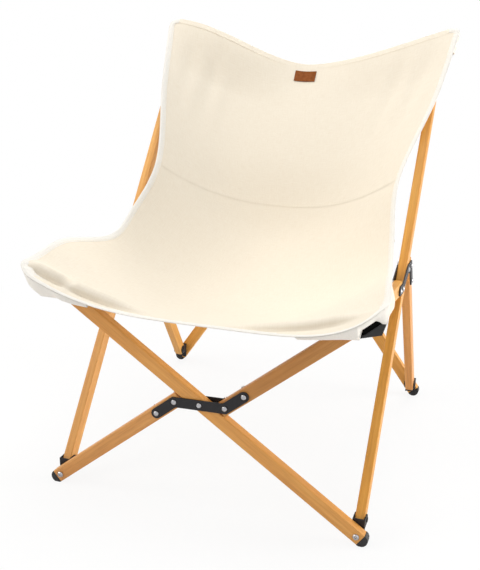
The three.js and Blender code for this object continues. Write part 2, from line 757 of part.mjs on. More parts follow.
// Hoods behind the top corners that take the post ends: a rear wall, a top and an outer side
const hoodPlane = (n) => axes(pinQ.clone().addScaledVector(rearOut, n), X, rearUp);
const topCorner = cloth(1, 0);
const hoodTop = (x) => {
  const rimPoint = cloth(x / topCorner.x, 0);
  return rimPoint.sub(pinQ).dot(rearUp) - bindingRadius - seat - clothPlay;
};
const hoodIn = half - hoodInner;
const hoodOut = topCorner.x - 2 * bindingRadius;
const hoodOutLow = half + barThick + clothThick;
const hoodSlope = (hoodTop(hoodOut) - hoodTop(hoodIn)) / (hoodOut - hoodIn);
const hoodLean = (hoodOut - hoodOutLow) / (hoodTop(hoodOut) + hoodLow);
const past = half / 4;
const hoodOutline = [
  [hoodIn, -hoodLow],
  [hoodOutLow, -hoodLow],
  [hoodOut, hoodTop(hoodOut)],
  [hoodIn, hoodTop(hoodIn)],
];
const hoodHollow = [
  [hoodIn - past, -hoodLow - past],
  [hoodOutLow - hoodWall - past * hoodLean, -hoodLow - past],
  [hoodOut - hoodWall, hoodTop(hoodOut) - hoodWall * (1 + hoodSlope)],
  [hoodIn - past, hoodTop(hoodIn) - hoodWall - past * hoodSlope],
];
const hoodRear = pinToBar + barThick / 2 + seat + boltHigh + hoodPlay;
const frontDepth = half / 3;

// Each side has a hood at the top corner and a sleeve that takes the seat arm under the front corner
for (const [word, sign] of [["right", 1], ["left", -1]]) {
  const drawn = (rows) => new THREE.Shape(rows.map(([x, z]) => new THREE.Vector2(sign * x, z)));
  const deep = hoodForward + hoodRear + clothThick;
  const hollowDeep = 2 * frontDepth + hoodRear;
  const block = slab(drawn(hoodOutline), deep, hoodPlane(hoodRear + clothThick - deep / 2));
  const hollow = slab(drawn(hoodHollow), hollowDeep, hoodPlane(hoodRear - hollowDeep / 2));
  const ends = [sign * hoodAcross, sign].sort((p, q) => p - q);
  const behind = clothThick / 2 + seat;
  const inFront = skin([...ends, 0, hoodAlong], [hoodSteps, hoodSteps], (a, b, layer) => {
    const point = cloth(a, b).addScaledVector(clothNormal(a, b), -behind);
    return point.addScaledVector(rearOut, layer > 0 ? -frontDepth : 0);
  });
  addPart(`sling_hood_${word}`, block.subtract(hollow).subtract(inFront), clothLook);

  const inner = Math.hypot(barWidth / 2 - barEdge, barThick / 2 - barEdge) + barEdge + seat;
  const outerRadius = inner + clothThick;
  const armAcross = arm.way.clone().cross(X).normalize();
  const start = degrees(90 + sleeveOpen / 2);
  const sweep = degrees(360 - sleeveOpen);
  const points = [];
  for (const [radius, from, to] of [[outerRadius, 0, 1], [inner, 1, 0]]) {
    for (let i = 0; i <= sleeveSides; i += 1) {
      const angle = start + sweep * THREE.MathUtils.lerp(from, to, i / sleeveSides);
      points.push(new THREE.Vector2(radius * Math.cos(angle), radius * Math.sin(angle)));
    }
  }
  const middle = pinP
    .clone()
    .addScaledVector(arm.way, -sleeveFromPin - sleeveLong / 2)
    .setX(sign * half);
  const upAcross = armAcross.z > 0 ? armAcross : armAcross.negate();
  const sleeve = slab(new THREE.Shape(points), sleeveLong, axes(middle, X, upAcross));
  addPart(`sling_sleeve_${word}`, sleeve, clothLook);
}

// The part's own frame: middle of the footprint box, on the floor
const box = new THREE.Box3().setFromObject(chair);
chair.position.set(-(box.min.x + box.max.x) / 2, -(box.min.y + box.max.y) / 2, -box.min.z);

export default chair;
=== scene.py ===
import json
import math

import bmesh
import bpy
import numpy as np
from mathutils import Matrix, Vector

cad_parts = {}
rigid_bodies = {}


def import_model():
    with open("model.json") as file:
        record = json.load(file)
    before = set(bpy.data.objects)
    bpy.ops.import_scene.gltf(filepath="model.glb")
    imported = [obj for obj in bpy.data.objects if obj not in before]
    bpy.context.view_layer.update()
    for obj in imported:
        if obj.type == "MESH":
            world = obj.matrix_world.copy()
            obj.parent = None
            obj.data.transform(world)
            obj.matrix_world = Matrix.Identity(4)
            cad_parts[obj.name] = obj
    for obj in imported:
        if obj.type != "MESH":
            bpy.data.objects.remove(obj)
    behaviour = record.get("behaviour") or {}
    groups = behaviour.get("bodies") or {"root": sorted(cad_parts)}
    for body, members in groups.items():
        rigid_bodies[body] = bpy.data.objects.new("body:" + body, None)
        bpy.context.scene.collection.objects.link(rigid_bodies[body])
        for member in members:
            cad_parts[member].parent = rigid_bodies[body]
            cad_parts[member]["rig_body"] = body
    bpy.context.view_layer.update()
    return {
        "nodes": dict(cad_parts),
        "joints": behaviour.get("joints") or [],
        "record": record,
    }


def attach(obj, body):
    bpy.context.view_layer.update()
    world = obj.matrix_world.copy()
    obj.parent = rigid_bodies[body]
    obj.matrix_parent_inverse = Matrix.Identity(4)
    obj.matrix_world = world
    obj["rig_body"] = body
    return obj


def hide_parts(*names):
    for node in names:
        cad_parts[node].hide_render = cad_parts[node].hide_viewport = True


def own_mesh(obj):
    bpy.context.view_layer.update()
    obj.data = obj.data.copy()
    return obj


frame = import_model()

# Lengths are in metres
MM = 0.001

# Sag of the sling: powers of the curve across it, and where along it they change
TOP_POWER, TOP_TO = 1.6, 0.12
SAG_POWER = 2.2
FRONT_POWER, FRONT_POWER_LEFT, FRONT_FROM = 4.5, 3.5, 0.965

# Lift of the top edge between middle and corner. Its curve peaks at 4/27 before it is scaled
TOP_LIFT, TOP_LIFT_LEFT = 0.05, 0.25
LIFT_SCALE = 27 / 4

# Lines of the sling in mm from the pins that hold it: out, back and up, and for the middle back and up
EDGE_RIGHT = ((36.8, 2.5, 46.5), (14.2, 0.8, 1.5), (-28.7, 69.4, 143.6), (-17.3, -19.4, 66.9),
              (-4.4, -92.9, 36.0), (16.7, 36.9, 46.3), (27.4, -37.7, 31.8), (26.4, -69.4, 35.0))
EDGE_LEFT = ((30.5, 3.0, 47.6), (8.1, 1.4, 3.2), (-29.0, 69.1, 138.5), (-17.6, -19.4, 67.8),
             (-11.8, -90.1, 36.7), (16.8, 37.3, 45.9), (28.0, -36.9, 35.8), (36.0, -82.9, 35.5))
MIDDLE = ((21, -40), (172, 141), (77, 1), (-40, -70), (-145, -70), (-70, -30))
SHOULDER_DOWN, SHOULDER_OUT = 120 * MM, 28 * MM
POST_TILT = math.radians(50.96)

# Cut of the sling, its seam and its crease
CLOTH_THICK = 1.6 * MM
TOP_CORNER = 20 * MM
FRONT_CORNER = 32 * MM
SEAM_MIDDLE, SEAM_SIDE = 0.375, 0.422
SEAM_LAP = 9 * MM
LAP_LIFT = 0.2 * MM
FLAP_LONG = 22 * MM
FLAP_UNDER = 2.2 * MM
FLAP_RAMP = 12 * MM
CREASE_SPAN = (0.42, 0.72)

# Small waves: a valley and a roll behind the front hem, slack in the seat, the drag at the shoulders
VALLEY_BACK, VALLEY_DEEP, VALLEY_WIDE = 2 * MM, 7.5 * MM, 5.5 * MM
ROLL_BACK, ROLL_HIGH, ROLL_WIDE = 14 * MM, 9.5 * MM, 11 * MM
ROLL_LEFT = ((-1.0, -0.9), (-0.55, -0.2))
ROLL_RIGHT = ((0.08, 0.4), (0.72, 0.9))
ROLL_RIGHT_SHARE = 0.7
PINCH_AT, PINCH_WIDE, PINCH_DEEP = -0.74, 0.03, 0.7
SLACK_HIGH, SLACK_WAVES = 1.6 * MM, ((2.2, 9), (3.1, 5))
DRAG_HIGH, DRAG_WAVE = 1.2 * MM, (34, 16)
DRAG_AT, DRAG_SPREAD, DRAG_SIDES = 0.12, 0.1, (0.35, 0.7)
CALM_EDGE = (0.8, 1.0)

# Tapes and stitches
TAPE_FRONT, TAPE_SIDE, TAPE_WIDENS = 17 * MM, 10 * MM, (0.93, 0.985)
TAPE_LIFT = 0.9 * MM
TAPE_OVER = 1.6 * MM
TOP_HEM, TOP_HEM_HIGH = 8 * MM, 0.92 * MM
STITCH_STEP, STITCH_LONG, STITCH_WIDE = 6 * MM, 3.8 * MM, 0.55 * MM
STITCH_BODY, STITCH_DIP = 0.25, 0.4
STITCH_IN = 2.2 * MM
SEAM_SUNK = 0.36 * MM
SEAM_SPAN, SEAM_ROWS_AT = (0.01, 0.955), (-0.28, 0.28)

# Leather label
LABEL_WIDE, LABEL_HIGH, LABEL_THICK = 46 * MM, 24 * MM, 1.5 * MM
LABEL_DROP = 17 * MM

# Hoods over the post tops, with a lining behind the sling
HOOD_INNER = 32 * MM
HOOD_DEEP = 62 * MM
HOOD_BACK = 41.5 * MM
HOOD_RISE, HOOD_FLARE, HOOD_RISE_TOP = 22 * MM, 1.2, 26 * MM
HOOD_WAVE, HOOD_WAVES = 0.8 * MM, (70, 60)
LINING_GAP, LINING_FROM = 1.1 * MM, 4 * MM
LINING_SUNK, LINING_SUNK_OVER = 0.4 * CLOTH_THICK, 10 * MM

# Sleeves round the seat arms, from front to back. The path is in mm out and up from the arm's middle
SLEEVE_ENDS = (-281 * MM, -168 * MM)
SLEEVE_PATH = ((14, 5), (11, -12.5), (0, -17), (-11, -12.5), (-14, 5))
SLEEVE_HELD, SLEEVE_DROP = (0.985, 0.86), 1.4 * MM
SLEEVE_WAVE, SLEEVE_WAVES = 0.9 * MM, (1.3, 5)

# Pockets under the front corners. The wall's lower edge is in mm out from the middle and up from the bolt
POCKET_FROM = {1: 168 * MM, -1: 180 * MM}
POCKET_TO, WALL_TO = 262 * MM, 299 * MM
WALL_LOW = {1: ((168, -41), (259, -31), (262, -14), (283, 5), (292, 0), (299, 0)),
            -1: ((180, -25), (205, -25), (232, -21), (256, -31), (285, -31), (299, -22))}
WALL_AHEAD = 13.5 * MM
WALL_LEAST = 3 * MM
WALL_NOTCH = 2.5 * MM
WALL_BEND, WALL_BULGE = 0.65, (0, -3, -1.5)
HEM_DROP = 1.2 * MM
HEM_AHEAD = {1: 0 * MM, -1: 28 * MM}
HEM_FROM, HEM_TO = 225 * MM, 258 * MM
POCKET_SHORT = 4 * MM
POCKET_DEEP, POCKET_LAP = 53 * MM, 12 * MM
POCKET_UNDER, POCKET_RISE = (0, 14, -2), 16 * MM
POCKET_CLEAR, POCKET_END = 9 * MM, 8 * MM

# Rivet heads, and the raised lip of a seat corner shoe in mm out and up from the bolt
RIVET_RADIUS, RIVET_HIGH = 4.7 * MM, 2.5 * MM
RIVET_PROUD, RIVET_SUNK, RIVET_TIP = 0.15 * MM, 0.2 * MM, 0.05 * MM
LIP_OUTLINE = ((-13.7, -29.7), (19.8, -19.8), (25.6, -0.4), (20, 0.5), (-4.5, -21.5), (-12.8, -26.8))
LIP_HIGH, LIP_SUNK = 2.2 * MM, 0.3 * MM

# Broken corners, and the angles from which an edge is broken or stays sharp
BEVEL = {"black_steel": 0.5 * MM, "zinc_steel": 0.25 * MM, "black_plastic": 0.6 * MM}
BEVEL_FROM, SHARP_FROM, TAPE_SHARP_FROM, FLAT_WITHIN = (math.radians(a) for a in (35, 38, 50, 1))
SAME_POINT = 1e-6

# Each bar has its own tone, some redder, some paler than the rest. The front bar's upper half is darker
# as painted shade, for the shade of the seat above it
BAR_TONES_AND_SHADE = {"front_bar_straight": (1.03, 0.98, 1.12), "front_bar_lower_half": (0.97, 0.91, 1.22),
             "front_bar_upper_half": (0.72, 0.63, 0.68), "right_post": (1.02, 0.95, 0.72),
             "right_leg": (0.98, 0.88, 1.0), "left_post": (1.08, 1.12, 1.6),
             "left_leg": (1.06, 1.12, 1.4)}
PLAIN_TONE = (1, 1, 1)
GRAIN_SHIFT = (0.37, 0.11, 0.23)

# Fineness of the meshes
COLUMNS, COLUMN_POWER = 96, 1.35
REAR_ROWS, SEAT_ROWS = 64, 110
LABEL_ROWS, LABEL_COLUMNS = 13, 25
HOOD_ROWS, HOOD_COLUMNS = 30, 30
SLEEVE_STATIONS, SLEEVE_TURNS = 28, 40
WALL_COLUMNS, WALL_ROWS = 60, 12
POCKET_COLUMNS, POCKET_ROWS = 28, 18
LINE_STEPS = 20
STITCH_SIDES = 6
RIVET_RINGS, RIVET_TURNS = 6, 28
RIM_STEP = 4 * MM

# Camera, worked out from bar ends and feet in the photo
FOCAL_PX, IMAGE_H = 850.6, 570
CAMERA_PITCH, CAMERA_YAW, CAMERA_ROLL = (math.radians(a) for a in (19.95, 19.48, 0.19))
CAMERA_SIDE, CAMERA_AHEAD, CAMERA_HIGH = 0.4787, 1.1831, 0.8672
SENSOR = 36.0

# Studio: the floor turns to plain white away from the chair
FLOOR_REACH, FLOOR_DROP = 30.0, 0.2 * MM
FLOOR_NEAR, FLOOR_FAR, FLOOR_WHITE = 0.35, 1.1, 0.88
SKY_LIGHT = 0.46

# Soft lights: name, place, size, power and colour
LIGHT_AIM = (0, 0, 0.4)
LIGHTS = (("key", (-2.8, -1.1, 2.0), 1.6, 45, (1.0, 0.95, 0.87)),
          ("fill", (2.4, -1.6, 1.6), 2.0, 7, (1.0, 0.97, 0.92)),
          ("above", (0.2, 0.4, 3.0), 2.0, 44, (0.93, 0.97, 1.0)),
          ("edge", (2.6, 0.75, 0.55), 1.0, 42, (1.0, 0.97, 0.92)))

# The frame's own pins and hubs
pins = {joint["name"]: Vector(joint["pos_m"]) for joint in frame["joints"]}
top_pin = np.array(pins["back_top_right"])
corner_pin = np.array(pins["seat_corner_right"])
foot_pin = np.array(pins["front_foot_right"])
rear_pin = np.array(pins["rear_foot_right"])
hub = np.array(pins["fold"])
half = hub[0]
slots = {row["node"]: row["material_slot"] for row in frame["record"]["subparts"]}
UP = np.array([0, 0, 1.0])
SIDES = ((1, "right"), (-1, "left"))


def node_points(name):
    return np.array([v.co for v in frame["nodes"][name].data.vertices])


# Shader helpers
def linear(red, green, blue):
    """A colour read as 0 to 255 on screen, as the shader's own numbers."""
    parts = [value / 255 for value in (red, green, blue)]
    lit = [p / 12.92 if p <= 0.04045 else ((p + 0.055) / 1.055) ** 2.4 for p in parts]
    return (*lit, 1.0)


class Finish:
    """A material and the tree of nodes behind it."""

    def __init__(self, name, colour, roughness, **sockets):
        self.material = bpy.data.materials.new(name)
        self.material.use_nodes = True
        self.tree = self.material.node_tree
        self.shader = self.tree.nodes["Principled BSDF"]
        self.shader.inputs["Base Color"].default_value = colour
        self.shader.inputs["Roughness"].default_value = roughness
        for socket, value in sockets.items():
            self.shader.inputs[socket.replace("_", " ")].default_value = value

    def node(self, kind, settings=None, **sockets):
        made = self.tree.nodes.new(kind)
        for name, value in (settings or {}).items():
            setattr(made, name, value)
        for socket, value in sockets.items():
            made.inputs[socket.replace("_", " ")].default_value = value
        return made

    def link(self, source, target):
        self.tree.links.new(source, target)

    def coordinates(self, output, scale=(1, 1, 1), turn=(0, 0, 0), shift=(0, 0, 0)):
        place = self.node("ShaderNodeTexCoord").outputs[output]
        turned = self.node("ShaderNodeMapping", Rotation=turn, Location=shift)
        sized = self.node("ShaderNodeMapping", Scale=scale)
        self.link(place, turned.inputs["Vector"])
        self.link(turned.outputs["Vector"], sized.inputs["Vector"])
        return sized.outputs["Vector"]

    def noise(self, vector, scale, detail=3.0, roughness=0.5):
        made = self.node("ShaderNodeTexNoise", Scale=scale, Detail=detail, Roughness=roughness)
        self.link(vector, made.inputs["Vector"])
        return made.outputs["Fac"]

    def ramp(self, factor, stops):
        made = self.node("ShaderNodeValToRGB")
        ends = made.color_ramp.elements
        while len(ends) < len(stops):
            ends.new(0.5)
        for element, (place, colour) in zip(ends, stops):
            element.position = place
            element.color = colour
        self.link(factor, made.inputs["Fac"])
        return made.outputs["Color"]

    def maths(self, operation, first, second):
        made = self.node("ShaderNodeMath", {"operation": operation})
        for socket, value in zip(made.inputs, (first, second)):
            if isinstance(value, (int, float)):
                socket.default_value = value
            else:
                self.link(value, socket)
        return made.outputs["Value"]

    def blended(self, kind, factor, first, second):
        made = self.node("ShaderNodeMix", {"data_type": "RGBA", "blend_type": kind})
        made.inputs[0].default_value = factor
        self.link(first, made.inputs[6])
        self.link(second, made.inputs[7])
        return made.outputs[2]

    def bump(self, height, strength, distance):
        made = self.node("ShaderNodeBump", Strength=strength, Distance=distance)
        self.link(height, made.inputs["Height"])
        self.link(made.outputs["Normal"], self.shader.inputs["Normal"])


# Finishes
def wood(name, way, seed, tone):
    """Oiled hardwood with its grain along the bar, each bar in its own tone, one of them darkened as
    painted shade.
    """
    finish = Finish(name, linear(206, 146, 84), 0.42)
    turn = Vector(way).rotation_difference(Vector((1, 0, 0))).to_euler()
    shift = tuple(step * seed for step in GRAIN_SHIFT)
    bands = finish.coordinates("Object", (5, 120, 120), turn, shift)
    fibres = finish.coordinates("Object", (30, 900, 900), turn, shift)
    broad = finish.noise(bands, 1.0, detail=4.0, roughness=0.55)
    fine = finish.noise(fibres, 1.0, detail=3.0, roughness=0.6)
    stops = [(0.3, linear(210, 147, 65)), (0.52, linear(223, 162, 76)), (0.75, linear(236, 180, 92))]
    toned = [(at, (*(part * share for part, share in zip(colour, tone)), 1)) for at, colour in stops]
    body = finish.ramp(broad, toned)
    streaks = finish.ramp(fine, [(0.36, linear(214, 208, 200)), (0.52, linear(255, 255, 255))])
    colour = finish.blended("MULTIPLY", 0.38, body, streaks)
    finish.link(colour, finish.shader.inputs["Base Color"])
    rough = finish.node("ShaderNodeMapRange", To_Min=0.36, To_Max=0.52)
    finish.link(fine, rough.inputs["Value"])
    finish.link(rough.outputs["Result"], finish.shader.inputs["Roughness"])
    finish.bump(fine, strength=0.25, distance=0.2 * MM)
    return finish.material


def powder_coat():
    """Black satin powder coat on pressed steel."""
    finish = Finish("black_powder_coat", linear(36, 35, 38), 0.5, Specular_IOR_Level=0.3)
    grain = finish.noise(finish.coordinates("Object"), 1800, detail=2.0)
    finish.bump(grain, strength=0.12, distance=0.15 * MM)
    return finish.material


def zinc():
    """Bright zinc plate, a little worn."""
    finish = Finish("zinc_plate", linear(178, 178, 182), 0.25, Metallic=1.0)
    wear = finish.noise(finish.coordinates("Object"), 420, detail=3.0)
    rough = finish.node("ShaderNodeMapRange", To_Min=0.2, To_Max=0.42)
    finish.link(wear, rough.inputs["Value"])
    finish.link(rough.outputs["Result"], finish.shader.inputs["Roughness"])
    return finish.material


def plastic():
    """Black moulded plastic."""
    finish = Finish("black_plastic", linear(30, 30, 32), 0.46)
    grain = finish.noise(finish.coordinates("Object"), 900, detail=2.0)
    finish.bump(grain, strength=0.08, distance=0.2 * MM)
    return finish.material


def woven(name, colour, shade, pitch, strength):
    """A plain weave: threads both ways, with small uneven threads."""
    finish = Finish(name, colour, 0.93, Specular_IOR_Level=0.15, Sheen_Weight=0.12,
                    Sheen_Roughness=0.6)
    flat = finish.coordinates("UV")
    # A wave texture turns by this many radians in one unit
    wave_rate = 20
    waves = []
    for direction in ("X", "Y"):
        wave = finish.node("ShaderNodeTexWave", {"bands_direction": direction},
                           Scale=math.tau / wave_rate / pitch, Distortion=0.6, Detail=1.0,
                           Detail_Scale=0.5)
        finish.link(flat, wave.inputs["Vector"])
        waves.append(wave.outputs["Fac"])
    weave = finish.maths("MULTIPLY", *waves)
    slubs = [finish.noise(finish.coordinates("UV", size), 1.0, detail=3.0, roughness=0.6)
             for size in ((60, 900, 1), (900, 60, 1))]
    uneven = finish.maths("ADD", *slubs)
    uneven = finish.maths("MULTIPLY", uneven, 0.5)
    tone = finish.ramp(uneven, [(0.35, shade), (0.6, colour)])
    finish.link(tone, finish.shader.inputs["Base Color"])
    height = finish.maths("ADD", weave, uneven)
    finish.bump(height, strength, distance=0.3 * MM)
    return finish.material


def leather():
    """Plain brown leather, bare of any mark."""
    finish = Finish("brown_leather", linear(134, 78, 40), 0.7, Specular_IOR_Level=0.1)
    place = finish.coordinates("Object")
    clouds = finish.noise(place, 160, detail=4.0, roughness=0.6)
    tone = finish.ramp(clouds, [(0.3, linear(122, 66, 29)), (0.7, linear(149, 87, 45))])
    finish.link(tone, finish.shader.inputs["Base Color"])
    pores = finish.noise(place, 1500, detail=2.0)
    finish.bump(pores, strength=0.3, distance=0.25 * MM)
    return finish.material


steel = powder_coat()
plated = zinc()
moulded = plastic()
canvas = woven("natural_canvas", linear(241, 231, 214), linear(235, 223, 204), 1.1 * MM, 0.3)
tape = woven("white_tape", linear(243, 239, 232), linear(235, 230, 222), 0.8 * MM, 0.3)
thread = Finish("cream_thread", linear(243, 233, 215), 0.8).material
hide = leather()
# Near-black plastic for the seat corner shoes is painted shade: it stands in for the shadow in the recess
# above each shoe's raised lip
painted_shade_black = Finish("deep_black_plastic", linear(4, 4, 4), 0.9, Specular_IOR_Level=0.15).material
plain_looks = {"black_steel": steel, "zinc_steel": plated, "black_plastic": moulded}


# Meshes
def new_piece(name, points, faces, material, normals=None, flat=None, smooth=True):
    """An object from points and faces, with its flat cloth coordinates where it has them."""
    mesh = bpy.data.meshes.new(name)
    mesh.from_pydata([tuple(p) for p in points], [], faces)
    if flat is not None:
        layer = mesh.uv_layers.new(name="weave")
        corners = np.zeros(len(mesh.loops), int)
        mesh.loops.foreach_get("vertex_index", corners)
        layer.data.foreach_set("uv", np.asarray(flat)[corners].astype(np.float32).ravel())
    mesh.validate()
    if smooth:
        mesh.shade_smooth()
    if normals is not None:
        mesh.normals_split_custom_set_from_vertices([tuple(n) for n in normals])
    mesh.materials.append(material)
    piece = bpy.data.objects.new(name, mesh)
    bpy.context.scene.collection.objects.link(piece)
    return piece


def unit(vectors):
    return vectors / np.maximum(np.linalg.norm(vectors, axis=-1, keepdims=True), 1e-12)


def smoothstep(value, low, high):
    t = np.clip((value - low) / (high - low), 0, 1)
    return t * t * (3 - 2 * t)


# A line through given points, read by its own length
def drawn_line(points, per_span=60):
    points = np.array(points, float)
    first, last = 2 * points[0] - points[1], 2 * points[-1] - points[-2]
    ghost = np.vstack([first, points, last])
    made = []
    for k in range(len(points) - 1):
        p0, p1, p2, p3 = ghost[k:k + 4]
        d0, d1, d2 = [math.sqrt(np.linalg.norm(b - a)) for a, b in ((p0, p1), (p1, p2), (p2, p3))]
        t1 = ((p1 - p0) / d0 - (p2 - p0) / (d0 + d1) + (p2 - p1) / d1) * d1
        t2 = ((p2 - p1) / d1 - (p3 - p1) / (d1 + d2) + (p3 - p2) / d2) * d1
        s = np.linspace(0, 1, per_span, endpoint=False)[:, None]
        made.append((2 * s**3 - 3 * s**2 + 1) * p1 + (s**3 - 2 * s**2 + s) * t1
                    + (3 * s**2 - 2 * s**3) * p2 + (s**3 - s**2) * t2)
    made = np.vstack([*made, points[-1:]])
    lengths = np.r_[0, np.cumsum(np.linalg.norm(np.diff(made, axis=0), axis=1))]

    def at(share):
        return np.stack([np.interp(share * lengths[-1], lengths, made[:, i]) for i in range(3)], -1)

    return at, lengths[-1]


# The sling's edges and middle, from the pins that hold it
post_way = np.array([0, math.cos(POST_TILT), math.sin(POST_TILT)])
post_front = np.array([0, -post_way[2], post_way[1]])
shoulder = top_pin - SHOULDER_DOWN * post_way + SHOULDER_OUT * post_front


def beside(pin, x, y, z):
    return pin + np.array([x, y, z]) * MM


def between(pin, y, z):
    return pin * np.array([0, 1, 1]) + np.array([0, y, z]) * MM


edge_pins = (top_pin, shoulder, hub, hub, hub, corner_pin, corner_pin, corner_pin)
middle_pins = (top_pin, hub, hub, hub, hub, corner_pin)
edge_right_at, edge_long = drawn_line([beside(pin, *at) for pin, at in zip(edge_pins, EDGE_RIGHT)])
edge_left_at, _ = drawn_line([beside(pin, *at) for pin, at in zip(edge_pins, EDGE_LEFT)])
middle_at, middle_long = drawn_line([between(pin, *at) for pin, at in zip(middle_pins, MIDDLE)])
top_half = edge_right_at(np.array(0.0))[0]


def edge_at(across, along):
    """The edge on the side that a place lies on, as if it were the right one."""
    return np.where((across < 0)[..., None], edge_left_at(along), edge_right_at(along))


def stretched(across, along):
    """The sling's middle surface without its small waves."""
    edge, centre = edge_at(across, along), middle_at(along)
    below_top = smoothstep(along, 0, TOP_TO)
    at_front = smoothstep(along, FRONT_FROM, 1)
    power = TOP_POWER + (SAG_POWER - TOP_POWER) * below_top
    front_power = np.where(across < 0, FRONT_POWER_LEFT, FRONT_POWER)
    power = power + (front_power - power) * at_front
    out = np.abs(across)
    lift = np.where(across < 0, TOP_LIFT_LEFT, TOP_LIFT) * LIFT_SCALE * out**2 * (1 - out)
    share = out**power + lift * (1 - below_top)
    point = centre + (edge - centre) * share[..., None]
    point[..., 0] = edge[..., 0] * across
    return point


def facing(surface, across, along, step=1e-4):
    """The side of a surface that faces the sitter."""
    wide = surface(across + step, along) - surface(across - step, along)
    low, high = np.maximum(along - step, 0), np.minimum(along + step, 1)
    long = surface(across, high) - surface(across, low)
    return unit(np.cross(long, wide))


def hump(value, middle, width):
    return np.exp(-((value - middle) / width) ** 2)


def relief(across, along):
    """The small waves, as heights above the stretched surface."""
    from_front, out = (1 - along) * edge_long, np.abs(across)
    left, right = [smoothstep(across, *rise) * (1 - smoothstep(across, *fall))
                   for rise, fall in (ROLL_LEFT, ROLL_RIGHT)]
    pinched = 1 - PINCH_DEEP * hump(across, PINCH_AT, PINCH_WIDE)
    here = left * pinched + ROLL_RIGHT_SHARE * right
    line = TAPE_FRONT + VALLEY_BACK
    valley = -VALLEY_DEEP * hump(from_front, line, VALLEY_WIDE) * here
    roll = ROLL_HIGH * hump(from_front, line + ROLL_BACK, ROLL_WIDE) * here
    ripples = [np.sin(wide * across + long * along) for wide, long in (*SLACK_WAVES, DRAG_WAVE)]
    slack = SLACK_HIGH * ripples[0] * ripples[1]
    drag = DRAG_HIGH * ripples[2] * hump(along, DRAG_AT, DRAG_SPREAD)
    inside = 1 - smoothstep(out, *CALM_EDGE)
    return valley + roll + slack * inside + drag * inside * smoothstep(out, *DRAG_SIDES)


def sling(across, along):
    base = stretched(across, along)
    return base + facing(stretched, across, along) * relief(across, along)[..., None]


# The cut of the sling: rounded corners, and the line where it creases when the frame folds
def rounding(across, radius, long):
    wide = radius / half
    t = np.clip((np.abs(across) - (1 - wide)) / wide, 0, 1)
    return radius / long * (1 - np.sqrt(1 - t * t))


def top_edge(across):
    return rounding(across, TOP_CORNER, edge_long)


def front_edge(across):
    return 1 - rounding(across, FRONT_CORNER, edge_long)


def crease_line(across):
    """Where each strip of the sling passes nearest to the side hubs."""
    tries = np.linspace(*CREASE_SPAN, 301)
    grid = stretched(*np.meshgrid(across, tries, indexing="ij"))
    away = np.linalg.norm((grid - hub)[..., 1:], axis=-1)
    return tries[np.argmin(away, 1)]


right_columns = 1 - (1 - np.linspace(0, 1, COLUMNS // 2 + 1)) ** COLUMN_POWER
columns = np.r_[-right_columns[:0:-1], right_columns]
nearest = crease_line(columns)
crease_curve = np.polynomial.polynomial.polyfit(columns**2, nearest, 3)


def crease_at(across):
    return np.polynomial.polynomial.polyval(np.asarray(across) ** 2, crease_curve)


def patch(wide, start, end, rows):
    """Rows of the sling between two lines across it."""
    share = np.linspace(0, 1, rows + 1)[:, None]
    along = start[None] + (end - start)[None] * share
    return np.repeat(wide[None], rows + 1, 0), along


def closed_sheet(name, centre, out, flat, material, thick=CLOTH_THICK):
    """A thin closed sheet either side of a grid of points."""
    rows, wide = centre.shape[:2]
    points = np.vstack([(centre + out * side * thick / 2).reshape(-1, 3) for side in (1, -1)])
    normals = np.vstack([out.reshape(-1, 3), -out.reshape(-1, 3)])
    count = rows * wide
    faces = []
    for r in range(rows - 1):
        for c in range(wide - 1):
            a, b = r * wide + c, r * wide + c + 1
            d, e = a + wide, b + wide
            faces.append((a, d, e, b))
            faces.append((count + a, count + b, count + e, count + d))
    rim = [*range(wide), *[r * wide + wide - 1 for r in range(1, rows)],
           *[(rows - 1) * wide + c for c in range(wide - 2, -1, -1)],
           *[r * wide for r in range(rows - 2, 0, -1)]]
    for a, b in zip(rim, rim[1:] + rim[:1]):
        faces.append((a, b, count + b, count + a))
    flat = flat.reshape(-1, 2)
    piece = new_piece(name, points, faces, material, normals, np.vstack([flat, flat]))
    size = [float(np.linalg.norm(np.diff(centre, axis=axis), axis=-1).sum(axis).max())
            for axis in (1, 0)]
    one_way, other_way = centre[1:, 1:] - centre[:-1, :-1], centre[:-1, 1:] - centre[1:, :-1]
    area = np.linalg.norm(np.cross(one_way, other_way), axis=-1).sum() / 2
    return piece, size, min(float(area), size[0] * size[1])


def sheet_piece(name, across, along, material, lift=None, thick=CLOTH_THICK):
    """A thin sheet on the sling's surface."""
    out = facing(sling, across, along)
    centre = sling(across, along)
    if lift is not None:
        centre = centre + out * lift[..., None]
    flat = np.stack([across * half, along * edge_long], -1)
    return closed_sheet(name, centre, out, flat, material, thick)


def grid_out(grid):
    """The side that a grid of points faces."""
    return unit(np.cross(np.gradient(grid, axis=0), np.gradient(grid, axis=1)))


def loose_sheet(name, grid, material):
    """A thin sheet through a grid of points, with its own flat lengths for the weave."""
    steps = [np.linalg.norm(np.diff(grid, axis=axis), axis=-1) for axis in (1, 0)]
    u = np.pad(np.cumsum(steps[0], 1), ((0, 0), (1, 0)))
    v = np.pad(np.cumsum(steps[1], 0), ((1, 0), (0, 0)))
    return closed_sheet(name, grid, grid_out(grid), np.stack([u, v], -1), material)


def fold_with(piece, body):
    """The piece goes with a body."""
    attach(piece, body)
    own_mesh(piece)


# Behind the crease each half goes with its own post
middle_rows = middle_at(np.linspace(0, float(crease_at(0.0)), 60))


def tuck_with(piece, side, word):
    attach(piece, f"{word}_post")
    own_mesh(piece)


def seam_at(across):
    return SEAM_MIDDLE + (SEAM_SIDE - SEAM_MIDDLE) * across**2


lap = SEAM_LAP / edge_long
ramp = FLAP_RAMP / edge_long


# Back panel, with its lower edge lapped over the seat panel, in two halves
def back_half(side, word):
    wide = columns[columns * side >= 0]
    seam = seam_at(wide)
    across, along = patch(wide, top_edge(wide), seam + lap / 2, REAR_ROWS)
    lap_lift = LAP_LIFT * smoothstep(along - seam[None], -2 * lap, -lap / 2)
    return sheet_piece(f"sling_back_{word}_cloth", across, along, canvas, lap_lift)


